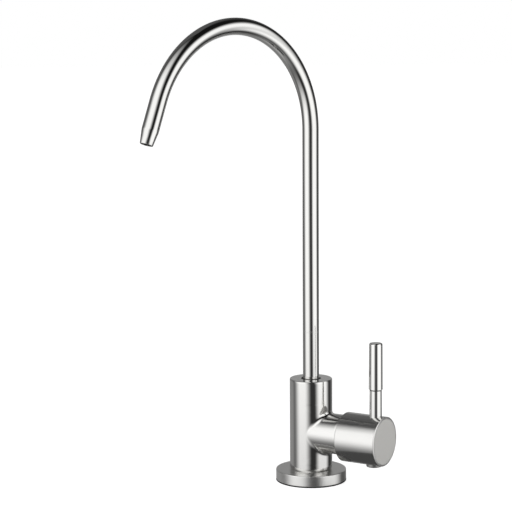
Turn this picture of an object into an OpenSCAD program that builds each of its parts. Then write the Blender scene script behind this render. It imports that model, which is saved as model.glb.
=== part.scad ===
// Drinking water filter tap for a worktop: a slim brushed-steel body with a side branch,
// a swivelling swan-neck spout and a quarter-turn lever on a ceramic-disc cartridge.
// Sizes are in millimetres. Z is up, the worktop is at z = 0, the spout reaches towards -Y
// and the handle stands out along +X.

/* [Base] */
// Diameter of the base flange
flange_d = 41.4; // [38:0.2:56]
// Height of the base flange
flange_h = 6.1; // [5.6:0.1:9]
// Broken edge at the rim of the flange
flange_edge = 0.4; // [0.2:0.1:1]
// Thickness of the flange above its hollow underside
flange_web = 2.5; // [2:0.1:4]
// Width of the flange's outer rim
flange_rim = 5.4; // [4:0.1:8]
// Thickness of the base gasket under the rim
gasket_t = 0.7; // [0.6:0.1:2]
// How far the base gasket shows beyond the flange
gasket_lip = 0.1; // [0.1:0.1:1]
// Height of the gasket's rib inside the flange
gasket_rib_h = 1.5; // [0.8:0.1:2]
// Thickness of the gasket's rib
gasket_rib_t = 1.0; // [0.8:0.1:2]

/* [Body] */
// Diameter of the upright body
body_d = 25; // [24:0.2:32]
// Height of the upright body above the flange
body_h = 54.3; // [53:0.1:90]
// Broken edge round the top of the body
body_edge = 0.4; // [0.2:0.1:1]
// Height of the tapered foot of the body
foot_h = 1.0; // [0.5:0.1:2]
// Inset of the tapered foot of the body
foot_in = 0.35; // [0.1:0.05:0.8]
// Diameter of the spigot that locates the flange
spigot_d = 16; // [14.5:0.1:18]
// Length of the spigot under the body
spigot_len = 4.5; // [3.5:0.1:5]
// Diameter of the side branch
branch_d = 23.6; // [23:0.1:25]
// Height of the branch axis above the flange
branch_rise = 22.05; // [21.4:0.05:24]
// Reach of the branch from the body axis
branch_reach = 22.8; // [22:0.1:30]
// Wall of the branch round the cartridge
branch_wall = 2.8; // [2.2:0.1:3]
// Radius of the dressed weld above and below the branch
weld_r = 1.8; // [1:0.1:3]
// Radius of the dressed weld at the sides of the branch
weld_side_r = 5; // [2:0.1:6]
// Bore of the inlet waterway
inlet_bore = 6; // [4:0.1:6.4]
// Bore of the slanting waterway to the spout
outlet_bore = 4.6; // [3:0.1:5]

/* [Spout] */
// Outer diameter of the spout tube
tube_d = 9.5; // [8.4:0.1:11]
// Wall of the spout tube
tube_wall = 0.8; // [0.6:0.1:1]
// Straight rise of the tube above the body
rise = 146; // [60:0.1:220]
// Centre-line radius of the bend
bend_r = 60.5; // [40:0.5:90]
// Angle of the bend
bend_sweep = 158.7; // [120:0.1:178]
// Straight run after the bend
outlet_run = 16.4; // [5:0.1:40]
// Length of the tapered nose
nose_len = 8; // [5:0.1:20]
// Outer diameter of the nose at the outlet
nose_d = 7.3; // [6:0.1:8]
// Angle of the spout away from straight ahead at rest
spout_turn = 13.4; // [-90:0.1:90]
// Wall of the bush round the tube
bush_wall = 0.95; // [0.8:0.05:1.3]
// Length of the bush
bush_len = 5; // [3:0.1:6]
// How far the bush sits below the top of the body
bush_inset = 0.6; // [0.3:0.1:1.5]
// Length of the spout end fitting
end_len = 14; // [13:0.1:14.5]
// Depth of the tube in the spout end fitting
end_hold = 6; // [4.5:0.1:6.5]
// Bore of the spout end fitting
end_bore = 6; // [4.5:0.1:6.4]
// Section of the spout sealing rings
spout_ring_s = 1.4; // [1:0.1:1.6]
// Diameter of the spout locking screw
lock_screw_d = 4; // [3:0.5:4.5]
// Depth of the locking groove
lock_groove = 0.45; // [0.3:0.05:0.5]

/* [Handle] */
// Diameter of the handle barrel
handle_d = 28.9; // [27.6:0.1:36]
// Length of the handle barrel
handle_len = 26.1; // [25:0.1:34]
// Gap between the branch and the barrel
handle_gap = 0.5; // [0.3:0.1:1.2]
// Rounding of the barrel's front edge
handle_edge = 0.6; // [0.2:0.1:1.4]
// Wall of the barrel round the cartridge
handle_wall = 2.8; // [2:0.1:2.9]
// Thickness of the solid head of the barrel
head_t = 10.4; // [9.8:0.1:11.5]
// Front wall left ahead of the spindle
front_wall = 2.4; // [1.5:0.1:4]
// Distance of the lever from the front of the barrel
lever_inset = 6.2; // [4.4:0.1:7]
// Diameter of the lever at its foot
lever_d = 7.2; // [6.5:0.1:9]
// Diameter of the lever below its grip
lever_neck_d = 7; // [6:0.1:8]
// Length of the lever below its grip
lever_neck_len = 15.8; // [8:0.1:40]
// Depth of the ring cut under the grip
neck_cut = 0.5; // [0.2:0.1:1.2]
// Width of the ring cut under the grip
neck_cut_w = 0.4; // [0.2:0.1:1.5]
// Diameter of the grip at its lower end
grip_d = 8; // [7.4:0.1:11]
// Diameter of the grip at its upper end
grip_tip_d = 7.7; // [6:0.1:11]
// Length of the grip
grip_len = 27.2; // [15:0.1:60]
// Rounding at the top of the grip
grip_round = 1.0; // [0.3:0.1:2]
// Depth of the flat seat under the lever
lever_seat = 1.2; // [0.8:0.1:2]
// Diameter of the lever's threaded stud
stud_d = 6; // [4:0.5:6]
// Length of the lever's threaded stud
stud_len = 6.5; // [4:0.1:7]
// Distance of the handle screw from the front of the barrel
screw_inset = 7.2; // [5.6:0.1:7.6]
// Diameter of the handle screw
screw_d = 5; // [4:0.5:6]
// Diameter of the plug over the handle screw
plug_d = 8.9; // [8:0.1:9.4]
// How far the plug stands out of the barrel
plug_proud = 1; // [0.2:0.1:2]
// Depth of the plug's seat in the barrel
plug_seat = 1.8; // [1.5:0.1:2]

/* [Cartridge] */
// Wall between the inlet waterway and the seat
seat_wall = 2; // [1.5:0.1:2.4]
// Bore of the seat in the body
seat_bore = 6.4; // [5:0.1:7]
// Thickness of the rubber seat seal
seal_t = 1.8; // [1.5:0.1:2.4]
// Thickness of the fixed ceramic disc
fixed_t = 2.8; // [2.5:0.1:3.4]
// Thickness of the moving ceramic disc
moving_t = 2.4; // [2.2:0.1:3]
// Thickness of the spindle's drive plate
drive_t = 3.4; // [3.2:0.1:4]
// Wall of the cartridge cup
cup_wall = 1.2; // [1:0.1:1.4]
// Water gap round the cartridge cup
cup_gap = 1; // [0.6:0.1:1.2]
// Thickness of the cartridge collar
collar_t = 3; // [2.5:0.1:3.5]
// Size across the flats of the cartridge collar
collar_af = 18.8; // [18.6:0.1:19.4]
// Length of the cartridge neck
neck_len = 7.4; // [6:0.1:7.6]
// Diameter of the cartridge neck
neck_d = 13; // [11.5:0.1:14]
// Diameter of the spindle
spindle_d = 8; // [7.6:0.1:8.6]
// Size across the flats of the spindle square
square_s = 5.6; // [5:0.1:5.6]
// Section of the spindle and cartridge sealing rings
ring_s = 1.4; // [1:0.1:1.5]
// Thickness of the spindle clip
clip_t = 0.8; // [0.6:0.1:1]
// Quarter turn of the lever
handle_swing = 90; // [60:1:100]

/* [Shank] */
// Diameter of the plain neck of the shank
shank_d = 11.1; // [10.6:0.1:12.6]
// Depth of the shank's thread below its plain neck
thread_depth = 0.2; // [0.1:0.05:0.3]
// Length of the plain neck below the worktop face
shank_neck = 8; // [4:0.5:15]
// Length of the shank below the worktop face
shank_len = 48; // [46:0.5:90]
// Bore of the shank
shank_bore = 5; // [3.5:0.1:5.4]
// Diameter of the shank's upper thread
root_d = 9.5; // [9:0.1:10]
// Length of the shank's upper thread
root_len = 10; // [8:0.1:11]
// Section of the shank's sealing ring
shank_ring_s = 1.1; // [0.8:0.1:1.2]
// Outer diameter of the supply tube
supply_d = 6.35; // [5:0.05:6.5]
// Depth of the supply tube in the shank
supply_depth = 12; // [8:0.5:14]

/* [Fixing] */
// Worktop thickness the fixings are set for
deck_t = 20; // [17:0.5:21]
// Diameter of the rubber washer under the worktop
rubber_washer_d = 30; // [26:0.5:40]
// Thickness of the rubber washer
rubber_washer_t = 3; // [2:0.1:4]
// Diameter of the steel washer
steel_washer_d = 28; // [24:0.5:38]
// Thickness of the steel washer
steel_washer_t = 1.5; // [1:0.1:2]
// Outer diameter of the split lock washer
lock_washer_d = 18; // [17:0.1:22]
// Thickness of the split lock washer
lock_washer_t = 2; // [1.5:0.1:2.5]
// Size across the flats of the fixing nut
nut_af = 19; // [17:0.5:22]
// Thickness of the fixing nut
nut_t = 6.5; // [5:0.1:7]
// Size across the flats of the inlet nut
inlet_nut_af = 16; // [15.5:0.5:19]
// Length of the inlet nut
inlet_nut_len = 13; // [12:0.1:14]

/* [Fits] */
// Radial clearance of turning pieces
run_clear = 0.05; // [0.03:0.01:0.08]
// Radial clearance of pieces that are screwed or pressed together
seat_clear = 0.03; // [0.02:0.01:0.06]
// Radial clearance of the supply tube and the washers
loose_clear = 0.15; // [0.1:0.05:0.3]
// End float of turning pieces
float_gap = 0.2; // [0.1:0.05:0.3]
// Room beside a sealing ring in its groove
groove_room = 0.3; // [0.2:0.05:0.5]

/* [Edges] */
// Broken edge of washers, seals and screw tips
fine_edge = 0.2; // [0.1:0.05:0.2]
// Broken edge of bores, spigots and screws
small_edge = 0.3; // [0.15:0.05:0.35]
// Lead-in at the start of a thread
thread_lead = 0.5; // [0.3:0.05:0.6]

/* [Hidden] */
$fn = 96;
// How far a cutter runs past the face it cuts
overcut = 1;
// Samples round the weld and across it, and how far it bites into the walls
weld_n = 48;
weld_m = 4;
weld_bite = 0.06;

flange_r = flange_d / 2;
flange_top = gasket_t + flange_h;
hollow_r = flange_r - flange_rim;
hollow_top = flange_top - flange_web;

body_r = body_d / 2;
body_top = flange_top + body_h;
branch_r = branch_d / 2;
branch_z = flange_top + branch_rise;
branch_bore = branch_d - 2 * branch_wall;
spigot_z = flange_top - spigot_len;

tube_r = tube_d / 2;
tube_bore = tube_d - 2 * tube_wall;
nose_bore = nose_d - 2 * tube_wall;
bend_z = body_top + rise;
socket_r = tube_r + run_clear + bush_wall + seat_clear;
bush_top = body_top - bush_inset;
bush_z = bush_top - bush_len;
end_top = bush_z - float_gap;
end_z = end_top - end_len;
socket_z = end_z - float_gap;
end_r = socket_r - run_clear;
tube_z = end_top - end_hold;
lock_z = end_top - end_hold / 2;
lock_r = end_r - lock_groove;
spout_ring_r = socket_r - run_clear - spout_ring_s / 2;
spout_groove_w = spout_ring_s + groove_room;
ring_land = 0.9;
spout_ring_low = end_z + ring_land + spout_groove_w / 2;
spout_ring_high = spout_ring_low + spout_groove_w + ring_land;
lock_half = 1.7;
lock_stand = 0.15;
lock_sink = 1.2;
lock_tip = 0.6;
drill_x = -3;
drill_rise = 3;
drill_tilt = 128;
drill_len = 15;

seat_x = inlet_bore / 2 + seat_wall;
fixed_x = seat_x + seal_t;
moving_x = fixed_x + fixed_t;
drive_x = moving_x + moving_t;
drive_end = drive_x + drive_t;
cup_floor = drive_end + float_gap;
cup_stand = 0.8;
cup_open = seat_x + cup_stand;
cup_r = branch_bore / 2 - cup_gap;
cup_bore_r = cup_r - cup_wall;
cup_end = 1.6;
cup_flare = 0.6;
thread_x = cup_floor + cup_end;
collar_x = branch_reach;
neck_x = collar_x + collar_t;
neck_end = neck_x + neck_len;
fixed_r = cup_bore_r - seat_clear;
disc_room = 0.2;
moving_r = cup_bore_r - disc_room;
drive_r = cup_bore_r - run_clear;
key_w = 5;
key_room = 0.1;
key_past = 0.6;
port_in = 2;
port_rim = 1;
port_out = fixed_r - port_rim;
port_angle = 76;
tongue_w = 2.4;
tongue_h = 1;
tongue_room = 0.1;
tongue_in = 0.3;
stop_clear = 0.9;
stop_in = spindle_d / 2 + stop_clear;
stop_h = 1.6;
stop_angle = 56;
stop_slack = 2;
seal_in = 0.6;
seal_room = 0.5;
spindle_r = spindle_d / 2;
spindle_bore_r = spindle_r + run_clear;
spindle_ring_r = spindle_bore_r - run_clear - ring_s / 2;
spindle_ring_pitch = 4;
spindle_ring_a = cup_floor + spindle_ring_pitch;
spindle_ring_b = spindle_ring_a + spindle_ring_pitch;
ring_under = 0.02;
cartridge_ring_r = branch_bore / 2 - seat_clear - ring_s / 2;
cartridge_ring_in = 1.8;
cartridge_ring_x = collar_x - cartridge_ring_in;
clip_room = 0.1;
clip_groove = 0.8;
clip_rim = 1.2;
clip_mouth = 100;
clip_land = 0.6;
clip_x = neck_end + clip_room;
clip_groove_r = spindle_r - clip_groove;

handle_x = branch_reach + handle_gap;
handle_r = handle_d / 2;
handle_front = handle_x + handle_len;
cavity_r = handle_r - handle_wall;
cavity_x = handle_front - head_t;
spindle_end = handle_front - front_wall - float_gap;
lever_x = handle_front - lever_inset;
crown_z = branch_z + handle_r;
lever_foot = crown_z - lever_seat;
screw_x = handle_front - screw_inset;
belly_z = branch_z - handle_r;
plug_top = belly_z + plug_seat;
screw_tip = branch_z - square_s / 2;
screw_sink = 2;
screw_tip_share = 0.7;
screw_tip_len = 0.6;
stud_room = 0.3;
stud_lead = 0.4;
grip_break = 0.15;
plug_round = 0.4;

thread_r = shank_d / 2 - thread_depth;
root_room = 0.4;
root_ring_in = 2;
split_w = 1;
split_tilt = 28;
washer_bore = shank_d + 2 * loose_clear;
rubber_z = -deck_t - rubber_washer_t;
steel_z = rubber_z - steel_washer_t;
lock_washer_z = steel_z - lock_washer_t;
nut_z = lock_washer_z - nut_t;
supply_r = supply_d / 2 + loose_clear / 2;
supply_z = -shank_len + supply_depth;
olive_t = 3.6;
olive_wall = 1.4;
olive_r = supply_r + olive_wall;
olive_cone = 1.5;
olive_room = 0.1;
olive_fit = 0.02;
olive_top = -shank_len + olive_cone - olive_room;
inlet_hold = 8;
inlet_nut_top = -shank_len + inlet_hold;
inlet_nut_z = inlet_nut_top - inlet_nut_len;
olive_z = olive_top - olive_t;

// Points of a circular arc in a turned profile.
function arc(cx, cy, r, a0, a1, n) = [for (i = [0:n]) [cx + r * cos(a0 + (a1 - a0) * i / n),
                                                     cy + r * sin(a0 + (a1 - a0) * i / n)]];

// A piece turned about Z from radius and height points.
module turned(points) {
  rotate_extrude()
    polygon(points);
}

// Lays a piece drawn along Z on the branch axis.
module along_branch(x = 0) {
  translate([x, 0, branch_z])
    rotate([0, 90, 0])
      children();
}

// A sealing ring about Z, centred on height z.
module o_ring(r, s, z = 0) {
  translate([0, 0, z])
    rotate_extrude()
      translate([r, 0])
        circle(d = s, $fn = 32);
}

// A groove for a sealing ring about Z, centred on height z.
module ring_groove(r_in, r_out, w, z) {
  translate([0, 0, z - w / 2])
    difference() {
      cylinder(r = r_out, h = w);
      translate([0, 0, -overcut])
        cylinder(r = r_in, h = w + 2 * overcut);
    }
}

// A pie slice about Z, wide enough to reach past radius r, centred on angle a.
module pie(r, a, spread, h) {
  q = spread / 4;
  s = r / cos(q) + overcut;
  rotate([0, 0, a])
    linear_extrude(height = h)
      polygon([[0, 0], [s * cos(-2 * q), s * sin(-2 * q)], [s * cos(-q), s * sin(-q)], [s, 0],
               [s * cos(q), s * sin(q)], [s * cos(2 * q), s * sin(2 * q)]]);
}

// A slice of a ring about Z.
module ring_slice(r_in, r_out, a, spread, h) {
  difference() {
    intersection() {
      cylinder(r = r_out, h = h);
      pie(r_out, a, spread, h);
    }
    translate([0, 0, -overcut])
      cylinder(r = r_in, h = h + 2 * overcut);
  }
}

// A hexagon nut blank with chamfered corners, standing on z = 0.
module hex_blank(af, h) {
  c = af / sqrt(3);
  corner = (c - af / 2 + small_edge) / 2;
  intersection() {
    cylinder(r = c, h = h, $fn = 6);
    turned([[0, 0], [af / 2 - fine_edge, 0], [c + fine_edge, corner], [c + fine_edge, h - corner],
            [af / 2 - fine_edge, h], [0, h]]);
  }
}

// A socket-head set screw blank, tip down at z = 0.
module set_screw(d, len, tip_d, tip_len, key) {
  difference() {
    turned([[0, 0], [tip_d / 2 - fine_edge, 0], [tip_d / 2, fine_edge], [tip_d / 2, tip_len],
            [d / 2, tip_len + small_edge], [d / 2, len - small_edge], [d / 2 - small_edge, len],
            [0, len]]);
    translate([0, 0, len - key])
      cylinder(r = key / sqrt(3), h = key + overcut, $fn = 6);
  }
}

// The dressed weld round the saddle where the branch meets the body.
function weld_ball(a) = weld_r + (weld_side_r - weld_r) * cos(a) * cos(a);
function weld_centre(a, b) = let (q = branch_r + b, w = body_r + b)
  [sqrt(w * w - q * q * cos(a) * cos(a)), q * cos(a), q * sin(a)];
function weld_to_body(c, b) = let (k = body_r / (body_r + b)) [c[0] * k, c[1] * k, c[2]] - c;
function weld_to_branch(c, b) = let (k = branch_r / (branch_r + b)) [c[0], c[1] * k, c[2] * k] - c;
function weld_angle(c, b) = acos((weld_to_body(c, b) * weld_to_branch(c, b)) / (b * b));
function weld_arc(c, b, t) = let (w = weld_angle(c, b), k = 1 + weld_bite / b)
  c + k * (weld_to_body(c, b) * sin((1 - t) * w) + weld_to_branch(c, b) * sin(t * w)) / sin(w);
function weld_strip(a) = let (b = weld_ball(a), c = weld_centre(a, b))
  [for (j = [0:weld_m]) weld_arc(c, b, j / weld_m)];

module saddle_weld() {
  k = weld_m + 1;
  n = weld_n * k;
  strips = [for (i = [0:weld_n - 1]) each weld_strip(360 * (i + 0.5) / weld_n)];
  ends = [[0, 0, 0], [branch_reach - weld_r, 0, 0]];
  sides = [for (i = [0:weld_n - 1]) for (j = [0:weld_m - 1]) each
    let (a = i * k + j, b = ((i + 1) % weld_n) * k + j)
      [[a, a + 1, b + 1], [a, b + 1, b]]];
  inner = [for (i = [0:weld_n - 1]) [n, i * k, ((i + 1) % weld_n) * k]];
  outer = [for (i = [0:weld_n - 1]) [n + 1, ((i + 1) % weld_n) * k + weld_m, i * k + weld_m]];
  translate([0, 0, branch_z])
    polyhedron(points = concat(strips, ends), faces = concat(sides, inner, outer), convexity = 4);
}

module tap_body() {
  color([0.76, 0.76, 0.77])
    difference() {
      union() {
        turned([[0, spigot_z], [spigot_d / 2 - small_edge, spigot_z], [spigot_d / 2, spigot_z + small_edge],
                [spigot_d / 2, flange_top], [body_r - foot_in, flange_top], [body_r, flange_top + foot_h],
                [body_r, body_top - body_edge], [body_r - body_edge, body_top], [0, body_top]]);
        along_branch()
          turned([[0, 0], [branch_r, 0], [branch_r, branch_reach - body_edge],
                  [branch_r - body_edge, branch_reach], [0, branch_reach]]);
        saddle_weld();
      }
      translate([0, 0, socket_z])
        cylinder(r = socket_r, h = body_top - socket_z + overcut);
      translate([0, 0, body_top - small_edge])
        cylinder(r1 = socket_r, r2 = socket_r + small_edge + overcut, h = small_edge + overcut);
      translate([drill_x, 0, socket_z + drill_rise])
        rotate([0, drill_tilt, 0])
          cylinder(d = outlet_bore, h = drill_len);
      along_branch(seat_x)
        cylinder(d = branch_bore, h = branch_reach);
      along_branch()
        cylinder(d = seat_bore, h = seat_x + overcut);
      translate([0, 0, spigot_z - overcut])
        cylinder(d = inlet_bore, h = branch_z - spigot_z + overcut);
      translate([0, 0, spigot_z - overcut])
        cylinder(d = root_d + 2 * seat_clear, h = root_len + root_room + overcut);
      translate([0, 0, lock_z])
        rotate([-90, 0, 0])
          cylinder(d = lock_screw_d + 2 * seat_clear, h = body_r + overcut);
    }
}

module base_flange() {
  color([0.76, 0.76, 0.77])
    turned([[spigot_d / 2 + seat_clear, hollow_top], [hollow_r, hollow_top], [hollow_r, gasket_t],
            [flange_r - flange_edge / 2, gasket_t], [flange_r, gasket_t + flange_edge / 2],
            [flange_r, flange_top - flange_edge], [flange_r - flange_edge, flange_top],
            [spigot_d / 2 + seat_clear, flange_top]]);
}

module base_gasket() {
  rib_r = hollow_r - seat_clear;
  color([0.08, 0.08, 0.08])
    turned([[rib_r - gasket_rib_t, 0], [flange_r + gasket_lip - fine_edge, 0],
            [flange_r + gasket_lip, fine_edge], [flange_r + gasket_lip, gasket_t - fine_edge],
            [flange_r + gasket_lip - fine_edge, gasket_t],
            [rib_r, gasket_t], [rib_r, gasket_t + gasket_rib_h],
            [rib_r - gasket_rib_t, gasket_t + gasket_rib_h]]);
}

module shank() {
  root_top = spigot_z + root_len;
  groove_r = root_d / 2 - shank_ring_s;
  color([0.72, 0.6, 0.32])
    difference() {
      turned([[shank_bore / 2, supply_z], [supply_r, supply_z], [supply_r, -shank_len + olive_cone],
              [supply_r + olive_cone, -shank_len], [thread_r - thread_lead, -shank_len],
              [thread_r, -shank_len + thread_lead], [thread_r, -shank_neck], [shank_d / 2, -shank_neck],
              [shank_d / 2, spigot_z], [root_d / 2, spigot_z], [root_d / 2, root_top - thread_lead],
              [root_d / 2 - thread_lead, root_top], [shank_bore / 2, root_top]]);
      ring_groove(groove_r, root_d, shank_ring_s + groove_room, root_top - root_ring_in);
    }
}

module shank_o_ring() {
  color([0.05, 0.05, 0.05])
    o_ring(root_d / 2 - shank_ring_s / 2 + seat_clear / 2, shank_ring_s,
           spigot_z + root_len - root_ring_in);
}

module rubber_washer() {
  color([0.08, 0.08, 0.08])
    translate([0, 0, rubber_z])
      turned([[washer_bore / 2, 0], [rubber_washer_d / 2 - small_edge, 0],
              [rubber_washer_d / 2, small_edge], [rubber_washer_d / 2, rubber_washer_t - small_edge],
              [rubber_washer_d / 2 - small_edge, rubber_washer_t], [washer_bore / 2, rubber_washer_t]]);
}

module steel_washer() {
  color([0.7, 0.71, 0.72])
    translate([0, 0, steel_z])
      turned([[washer_bore / 2, 0], [steel_washer_d / 2 - fine_edge, 0],
              [steel_washer_d / 2, fine_edge], [steel_washer_d / 2, steel_washer_t],
              [washer_bore / 2, steel_washer_t]]);
}

module lock_washer() {
  color([0.6, 0.61, 0.63])
    translate([0, 0, lock_washer_z])
      difference() {
        cylinder(d = lock_washer_d, h = lock_washer_t);
        translate([0, 0, -overcut])
          cylinder(d = washer_bore, h = lock_washer_t + 2 * overcut);
        rotate([split_tilt, 0, 0])
          translate([0, -split_w / 2, -3 * lock_washer_t])
            cube([lock_washer_d, split_w, 8 * lock_washer_t]);
      }
}

module fixing_nut() {
  color([0.75, 0.62, 0.33])
    translate([0, 0, nut_z])
      difference() {
        hex_blank(nut_af, nut_t);
        translate([0, 0, -overcut])
          cylinder(r = thread_r + seat_clear, h = nut_t + 2 * overcut);
        translate([0, 0, -overcut])
          cylinder(r1 = thread_r + thread_lead + overcut, r2 = thread_r, h = thread_lead + overcut);
      }
}

module inlet_nut() {
  color([0.75, 0.62, 0.33])
    difference() {
      translate([0, 0, inlet_nut_z])
        hex_blank(inlet_nut_af, inlet_nut_len);
      translate([0, 0, inlet_nut_z])
        turned([[0, -overcut], [supply_r + 2 * loose_clear, -overcut],
                [supply_r + 2 * loose_clear, olive_z - inlet_nut_z - olive_room],
                [olive_r + seat_clear, olive_z - inlet_nut_z + olive_wall - olive_room],
                [olive_r + small_edge, -shank_len - inlet_nut_z - small_edge],
                [thread_r + seat_clear, -shank_len - inlet_nut_z - small_edge],
                [thread_r + seat_clear, inlet_nut_len + overcut], [0, inlet_nut_len + overcut]]);
    }
}

module inlet_olive() {
  color([0.86, 0.86, 0.82])
    translate([0, 0, olive_z])
      turned([[supply_r + olive_fit, olive_room / 2], [supply_r + small_edge, olive_room / 2],
              [olive_r, olive_wall - olive_room / 2], [olive_r, olive_t - olive_wall],
              [supply_r + small_edge, olive_t - small_edge], [supply_r + olive_fit, olive_t - small_edge]]);
}

module cartridge_housing() {
  color([0.78, 0.64, 0.34])
    along_branch()
      difference() {
        union() {
          turned([[0, cup_open], [cup_r, cup_open], [cup_r, thread_x],
                  [branch_bore / 2 - seat_clear, thread_x + cup_flare],
                  [branch_bore / 2 - seat_clear, collar_x], [neck_d / 2, collar_x],
                  [neck_d / 2, neck_end - small_edge], [neck_d / 2 - small_edge, neck_end], [0, neck_end]]);
          translate([0, 0, collar_x])
            hex_blank(collar_af, collar_t);
        }
        difference() {
          translate([0, 0, cup_open - overcut])
            cylinder(r = cup_bore_r, h = cup_floor - cup_open + overcut);
          translate([0, 0, cup_floor - stop_h])
            ring_slice(stop_in, cup_r, 90, stop_angle, stop_h + overcut);
        }
        cylinder(r = spindle_bore_r, h = neck_end + overcut);
        translate([-key_w / 2, -branch_d, cup_open - overcut])
          cube([key_w, 2 * branch_d, drive_x + key_past - cup_open + overcut]);
        ring_groove(cartridge_ring_r - ring_s / 2 - ring_under, branch_d, ring_s + groove_room,
                    cartridge_ring_x);
      }
}

module cartridge_o_ring() {
  color([0.05, 0.05, 0.05])
    along_branch()
      o_ring(cartridge_ring_r, ring_s, cartridge_ring_x);
}

module seat_seal() {
  r_in = seat_bore / 2 + seal_in;
  r_out = cup_bore_r - seal_room;
  color([0.1, 0.1, 0.1])
    along_branch(seat_x)
      turned([[r_in, small_edge], [r_in + small_edge, 0], [r_out - small_edge, 0], [r_out, small_edge],
              [r_out, seal_t], [r_in, seal_t]]);
}

module fixed_disc() {
  color([0.94, 0.93, 0.9])
    along_branch(fixed_x)
      difference() {
        union() {
          cylinder(r = fixed_r, h = fixed_t);
          intersection() {
            cylinder(r = cup_r - seat_clear, h = fixed_t);
            translate([-key_w / 2 + key_room, -branch_d, 0])
              cube([key_w - 2 * key_room, 2 * branch_d, fixed_t]);
          }
        }
        translate([0, 0, -overcut])
          ring_slice(port_in, port_out, 0, port_angle, fixed_t + 2 * overcut);
        translate([0, 0, -overcut])
          ring_slice(port_in, port_out, 180, port_angle, fixed_t + 2 * overcut);
      }
}

module moving_disc() {
  color([0.97, 0.96, 0.94])
    along_branch(moving_x)
      difference() {
        cylinder(r = moving_r, h = moving_t);
        translate([0, 0, -overcut])
          ring_slice(port_in, moving_r + overcut, 90, port_angle, moving_t + 2 * overcut);
        translate([0, 0, -overcut])
          ring_slice(port_in, moving_r + overcut, 270, port_angle, moving_t + 2 * overcut);
        translate([-branch_d, -tongue_w / 2 - seat_clear, moving_t - tongue_h - tongue_room])
          cube([2 * branch_d, tongue_w + 2 * seat_clear, tongue_h + overcut]);
      }
}

module spindle() {
  plate_t = drive_t - stop_h - float_gap;
  color([0.78, 0.64, 0.34])
    along_branch()
      difference() {
        union() {
          translate([0, 0, drive_x])
            cylinder(r = drive_r, h = plate_t);
          difference() {
            translate([0, 0, drive_x])
              cylinder(r = drive_r, h = drive_t);
            translate([0, 0, drive_x + plate_t])
              ring_slice(stop_in - float_gap, drive_r + overcut, 90 - handle_swing / 2,
                         stop_angle + handle_swing + stop_slack, drive_t);
          }
          translate([0, 0, drive_x])
            cylinder(r = spindle_r, h = clip_x + clip_t + clip_land - drive_x);
          translate([-square_s / 2, -square_s / 2, drive_x])
            cube([square_s, square_s, spindle_end - drive_x]);
          intersection() {
            translate([-branch_d, -tongue_w / 2, drive_x - tongue_h])
              cube([2 * branch_d, tongue_w, 2 * tongue_h]);
            translate([0, 0, drive_x - 2 * tongue_h])
              cylinder(r = moving_r - tongue_in, h = 4 * tongue_h);
          }
        }
        ring_groove(spindle_ring_r - ring_s / 2 - ring_under, branch_d, ring_s + groove_room, spindle_ring_a);
        ring_groove(spindle_ring_r - ring_s / 2 - ring_under, branch_d, ring_s + groove_room, spindle_ring_b);
        ring_groove(clip_groove_r, branch_d, clip_t + clip_room, clip_x + clip_t / 2);
      }
}

module spindle_o_rings() {
  color([0.05, 0.05, 0.05])
    along_branch() {
      o_ring(spindle_ring_r, ring_s, spindle_ring_a);
      o_ring(spindle_ring_r, ring_s, spindle_ring_b);
    }
}

module spindle_clip() {
  bite = clip_groove_r + seat_clear;
  color([0.55, 0.56, 0.58])
    along_branch(clip_x)
      difference() {
        cylinder(r = spindle_r + clip_rim, h = clip_t);
        translate([0, 0, -overcut])
          cylinder(r = bite, h = clip_t + 2 * overcut);
        translate([0, 0, -overcut])
          pie(spindle_r + clip_rim, 180, clip_mouth, clip_t + 2 * overcut);
      }
}

module spout_bush() {
  r_in = tube_r + run_clear;
  r_out = socket_r - seat_clear;
  color([0.1, 0.1, 0.1])
    translate([0, 0, bush_z])
      turned([[r_in, 0], [r_out - fine_edge, 0], [r_out, fine_edge], [r_out, bush_len],
              [r_in + fine_edge, bush_len], [r_in, bush_len - fine_edge]]);
}

module spout_lock_screw() {
  tip_r = lock_r + lock_stand;
  color([0.55, 0.56, 0.58])
    translate([0, tip_r, lock_z])
      rotate([-90, 0, 0])
        set_screw(lock_screw_d, body_r - tip_r - lock_sink, lock_screw_d * lock_tip,
                  socket_r - tip_r + small_edge, lock_screw_d / 2);
}

// Lays a piece in the spout's own plane, with its reach along -Y before the turn.
module in_spout_plane() {
  rotate([0, 0, -spout_turn])
    children();
}

// The spout's run drawn solid at one diameter, from the socket to the tip of the nose.
module spout_run(d, d_nose, over) {
  translate([0, 0, tube_z - over])
    cylinder(d = d, h = bend_z - tube_z + over);
  translate([0, -bend_r, bend_z])
    rotate([90, 0, 90]) {
      difference() {
        rotate_extrude(angle = bend_sweep + overcut)
          translate([bend_r, 0])
            circle(d = d, $fn = 64);
        rotate([0, 0, bend_sweep])
          translate([0, 0, -tube_d])
            cube([2 * bend_r, 2 * tube_d, 2 * tube_d]);
      }
      rotate([0, 0, bend_sweep])
        translate([bend_r, 0, 0])
          rotate([-90, 0, 0])
            turned([[0, 0], [d / 2, 0], [d / 2, outlet_run], [d_nose / 2, outlet_run + nose_len],
                    [d_nose / 2, outlet_run + nose_len + over], [0, outlet_run + nose_len + over]]);
    }
}

module spout_tube() {
  color([0.78, 0.78, 0.79])
    in_spout_plane()
      difference() {
        spout_run(tube_d, nose_d, 0);
        spout_run(tube_bore, nose_bore, overcut);
      }
}

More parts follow.
